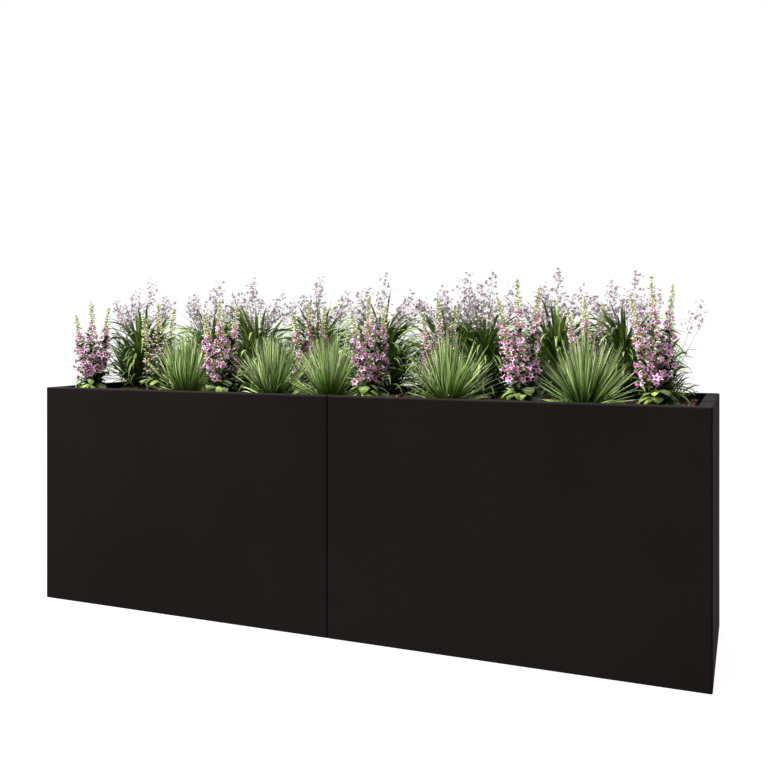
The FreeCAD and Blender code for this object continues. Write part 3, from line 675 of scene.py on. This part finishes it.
def strap_leaves(rng, green, centre, count, crown, rise, lean, droop, length, width, shade):
    """Strap leaves that rise from one crown and arch over; lean and droop are ranges in radians."""
    share = np.linspace(0.0, 1.0, 13)
    outline = np.sin(np.clip(share * 0.96 + 0.04, 0.0, 1.0) ** 0.7 * math.pi) ** 0.7
    outline[0], outline[-1] = 0.5, 0.03
    heading = np.arange(count) * GOLDEN_ANGLE + rng.normal(0.0, 0.3, count)
    splay = rng.uniform(0.0, 1.0, count)
    foot = crown * np.sqrt(rng.uniform(0.0, 1.0, count))
    light = np.minimum(rng.uniform(0.0, 1.0, (count, 1)) * shade * spread(0.4, 1.0, share), 1.0)
    place = centre + level(heading) * foot[:, None] + UP * rng.uniform(0.0, rise, count)[:, None]
    blades(green, place, heading, spread(*lean, splay),
           spread(*droop, splay) * rng.uniform(0.7, 1.2, count), length * rng.uniform(0.75, 1.06, count),
           width * rng.uniform(0.75, 1.2, count), outline, mixed(STRAP_DARK, STRAP_LIGHT, light),
           twist=rng.normal(0.0, 0.6, count), columns=5, midrib=-0.25, curl=1.8)


def perennial(node, number, green_material, floret_material):
    """A fountain of strap leaves with a few airy flower stems above it."""
    rng = np.random.default_rng(SEED + 200 + number)
    centre, height = standing_place(node)
    green, florets = Growth(), Growth()
    vigour = (height / PERENNIAL_HEIGHT) ** VIGOUR_POWER
    for count, crown, rise, lean, droop, reach, width, shade in STRAP_KINDS:
        strap_leaves(rng, green, centre, round(count * vigour), crown, height * rise, lean, droop,
                     height * reach * vigour ** LEAF_POWER, width, shade)
    plume_count = max(FEWEST_PLUMES, round(len(PLUMES) * vigour))
    twig_count = round(TWIGS * vigour ** TWIG_POWER)
    for right, away, share, first_flower in PLUMES[:plume_count]:
        jitter = rng.normal(0.0, 0.008, 3) * (1.0, 1.0, 0.0)
        panicle(rng, green, florets, centre + jitter, RIGHT * right + AWAY * away + jitter,
                height * share * PLUME_SHARE, first_flower, twig_count)
    green.piece(f"{node}_leaves", green_material, "perennial", node)
    florets.piece(f"{node}_florets", floret_material, "perennial", node)


# ------------------------------------------------------------------ soil
SOIL_GRID = (420, 96)
SOIL_WAVES = ((0.31, 0.0030), (0.13, 0.0022), (0.047, 0.0016), (0.019, 0.0012))
CHIP_DARK, CHIP_LIGHT = rgb(58, 41, 32), rgb(142, 106, 85)
CHIP_COUNT = 5200
CHIP_SIZE = (0.010, 0.024)


def soil_top(rng, low, high):
    """Height of the uneven soil over a grid of points."""
    grid_x, grid_y = np.meshgrid(np.linspace(low.x, high.x, SOIL_GRID[0]),
                                 np.linspace(low.y, high.y, SOIL_GRID[1]), indexing="ij")
    height = np.full_like(grid_x, high.z - 0.004)
    for wavelength, depth in SOIL_WAVES:
        for turn in rng.uniform(0.0, FULL_TURN, 3):
            run = (grid_x * math.cos(turn) + grid_y * math.sin(turn)) / wavelength
            height += depth / 2.0 * np.sin(FULL_TURN * run + rng.uniform(0.0, FULL_TURN))
    height += rng.normal(0.0, 0.0005, height.shape)
    return np.stack([grid_x, grid_y, height], axis=-1)


def bark_chip():
    """A thin broken flake, one unit long."""
    points, faces = [], []
    for height, scale in ((-0.09, 0.85), (0.09, 1.0)):
        for reach, half in ((-0.5, 0.10), (-0.15, 0.24), (0.2, 0.20), (0.5, 0.07)):
            points.append((reach * scale, -half * scale, height))
            points.append((reach * scale, half * scale, height + 0.03 * reach))
    for step in (0, 2, 4):
        faces.append((step + 1, step, step + 2, step + 3))
        faces.append((8 + step, 9 + step, 11 + step, 10 + step))
        faces.append((step, 8 + step, 10 + step, step + 2))
        faces.append((step + 3, 11 + step, 9 + step, step + 1))
    faces.append((1, 9, 8, 0))
    faces.append((6, 14, 15, 7))
    return np.array(points), np.ones((len(points), 3)), np.array(faces)


def soil(material, chip_material):
    """Uneven potting soil with a loose layer of bark chips on it."""
    rng = np.random.default_rng(SEED + 300)
    low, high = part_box("soil_fill")
    surface = soil_top(rng, low, high)
    ground = Growth()
    ground.add_grids(surface[None], np.ones((1, *surface.shape)))
    for edge in (surface[:, 0], surface[::-1, -1], surface[0, ::-1], surface[-1]):
        foot = edge.copy()
        foot[:, 2] = low.z
        wall = np.stack([foot, edge], axis=1)[None]
        ground.add_grids(wall, np.ones_like(wall))
    floor = surface[[0, -1]][:, [0, -1]][None]
    floor[..., 2] = low.z
    ground.add_grids(floor, np.ones_like(floor))
    ground.piece("potting_soil", material, "soil_bark", "soil_fill")

    column = rng.integers(1, SOIL_GRID[0] - 1, CHIP_COUNT)
    row = rng.integers(1, SOIL_GRID[1] - 1, CHIP_COUNT)
    spot = surface[column, row] + rng.uniform(-0.002, 0.004, (CHIP_COUNT, 3))
    axis = np.c_[rng.normal(0.0, 0.28, (CHIP_COUNT, 2)), np.ones(CHIP_COUNT)]
    chips = Growth()
    scatter(chips, bark_chip(), spot, axis, rng.uniform(0.0, FULL_TURN, CHIP_COUNT),
            rng.uniform(*CHIP_SIZE, CHIP_COUNT),
            mixed(CHIP_DARK, CHIP_LIGHT, rng.uniform(0.0, 1.0, CHIP_COUNT) ** 1.4))
    chips.piece("bark_chips", chip_material, "soil_bark", "soil_fill", smooth=False)


# ------------------------------------------------------------------ CAD nodes
def dress_frame():
    """The hard pieces keep their CAD shape and get their material by slot."""
    materials = {
        "shell_coat": powder_coat(),
        "frame_zinc": galvanised(),
        "fastener_zinc": zinc_plated(),
        "gasket_rubber": moulded("gasket_rubber", rgb(8, 8, 8), rgb(14, 14, 14), 0.9),
        "foot_plastic": moulded("foot_plastic", rgb(24, 24, 25), rgb(34, 34, 35), 0.6),
        "spout_plastic": moulded("spout_plastic", rgb(30, 31, 32), rgb(42, 43, 44), 0.5),
        "liner_fleece": fleece("liner_fleece", rgb(18, 18, 19), rgb(38, 38, 39)),
        "mat_fleece": fleece("mat_fleece", rgb(104, 104, 100), rgb(140, 140, 134)),
    }
    for part in frame["record"]["subparts"]:
        if part["material_slot"] in materials:
            for entry in frame["nodes"][part["node"]].material_slots:
                entry.material = materials[part["material_slot"]]


# ------------------------------------------------------------------ studio
CAMERA_PLACE = (1.2918, -2.7943, 1.0062)
CAMERA_LENS = 39.755
CAMERA_SHIFT = (-0.0418, -0.0662)
SENSOR_WIDTH = 36.0
KEY_PLACE = (-3.0, -2.9, 5.6)
KEY_SIZE = 1.8
KEY_POWER = 960.0
TOP_PLACE = (0.3, 1.0, 5.0)
TOP_SIZE = 3.0
TOP_POWER = 260.0
FLOOR_SIZE = 40.0
FLOOR_GREY = (0.12, 0.12, 0.12, 1.0)
FLOOR_GLOW = 0.9
WHITE = (1.0, 1.0, 1.0, 1.0)


def soft_light(name, place, size, power):
    """A round soft box that faces the planter's rim."""
    light = bpy.data.lights.new(name, "AREA")
    light.shape = "DISK"
    light.size = size
    light.energy = power
    lamp = bpy.data.objects.new(name, light)
    lamp.location = place
    lamp.rotation_euler = (Vector((0.0, 0.0, RIM_HIGH)) - Vector(place)).to_track_quat("-Z", "Y").to_euler()
    bpy.context.scene.collection.objects.link(lamp)


def studio():
    """White surroundings, a floor that glows to the same white, two soft lights and the camera."""
    scene = bpy.context.scene
    camera = bpy.data.cameras.new("camera")
    camera.lens = CAMERA_LENS
    camera.sensor_width = SENSOR_WIDTH
    camera.shift_x, camera.shift_y = CAMERA_SHIFT
    holder = bpy.data.objects.new("camera", camera)
    holder.location = CAMERA_PLACE
    holder.rotation_euler = (math.radians(90.0), 0.0, CAMERA_TURN)
    scene.collection.objects.link(holder)
    scene.camera = holder

    world = bpy.data.worlds.new("studio")
    world.use_nodes = True
    sky = world.node_tree.nodes["Background"]
    sky.inputs["Color"].default_value = WHITE
    sky.inputs["Strength"].default_value = 1.0
    scene.world = world
    scene.view_settings.view_transform = "Standard"

    soft_light("key", KEY_PLACE, KEY_SIZE, KEY_POWER)
    soft_light("top", TOP_PLACE, TOP_SIZE, TOP_POWER)

    bpy.ops.mesh.primitive_plane_add(size=FLOOR_SIZE)
    floor = bpy.context.object
    floor.name = "floor"
    paint = Surface("floor", roughness=1.0, specular=0.0)
    paint.shader.inputs["Base Color"].default_value = FLOOR_GREY
    paint.shader.inputs["Emission Color"].default_value = WHITE
    paint.shader.inputs["Emission Strength"].default_value = FLOOR_GLOW
    floor.data.materials.append(paint.material)


# ------------------------------------------------------------------ build
studio()
dress_frame()
soil(potting_soil(), bark_mulch())

clump_green = foliage("clump_leaf", 0.55, 0.3)
bell_petal = foliage("bell_petal", 0.6, 0.25)
blade_green = foliage("grass_blade", 0.5, 0.3)
strap_green = foliage("strap_leaf", 0.45, 0.35)
floret_petal = foliage("floret_petal", 0.65, 0.2)

for name in sorted(frame["nodes"]):
    kind, _, last = name.rpartition("_")
    if kind == "flower_clump":
        flower_clump(name, int(last), clump_green, bell_petal)
    elif kind == "grass_tuft":
        grass_tuft(name, int(last), blade_green)
    elif kind == "perennial":
        perennial(name, int(last), strap_green, floret_petal)
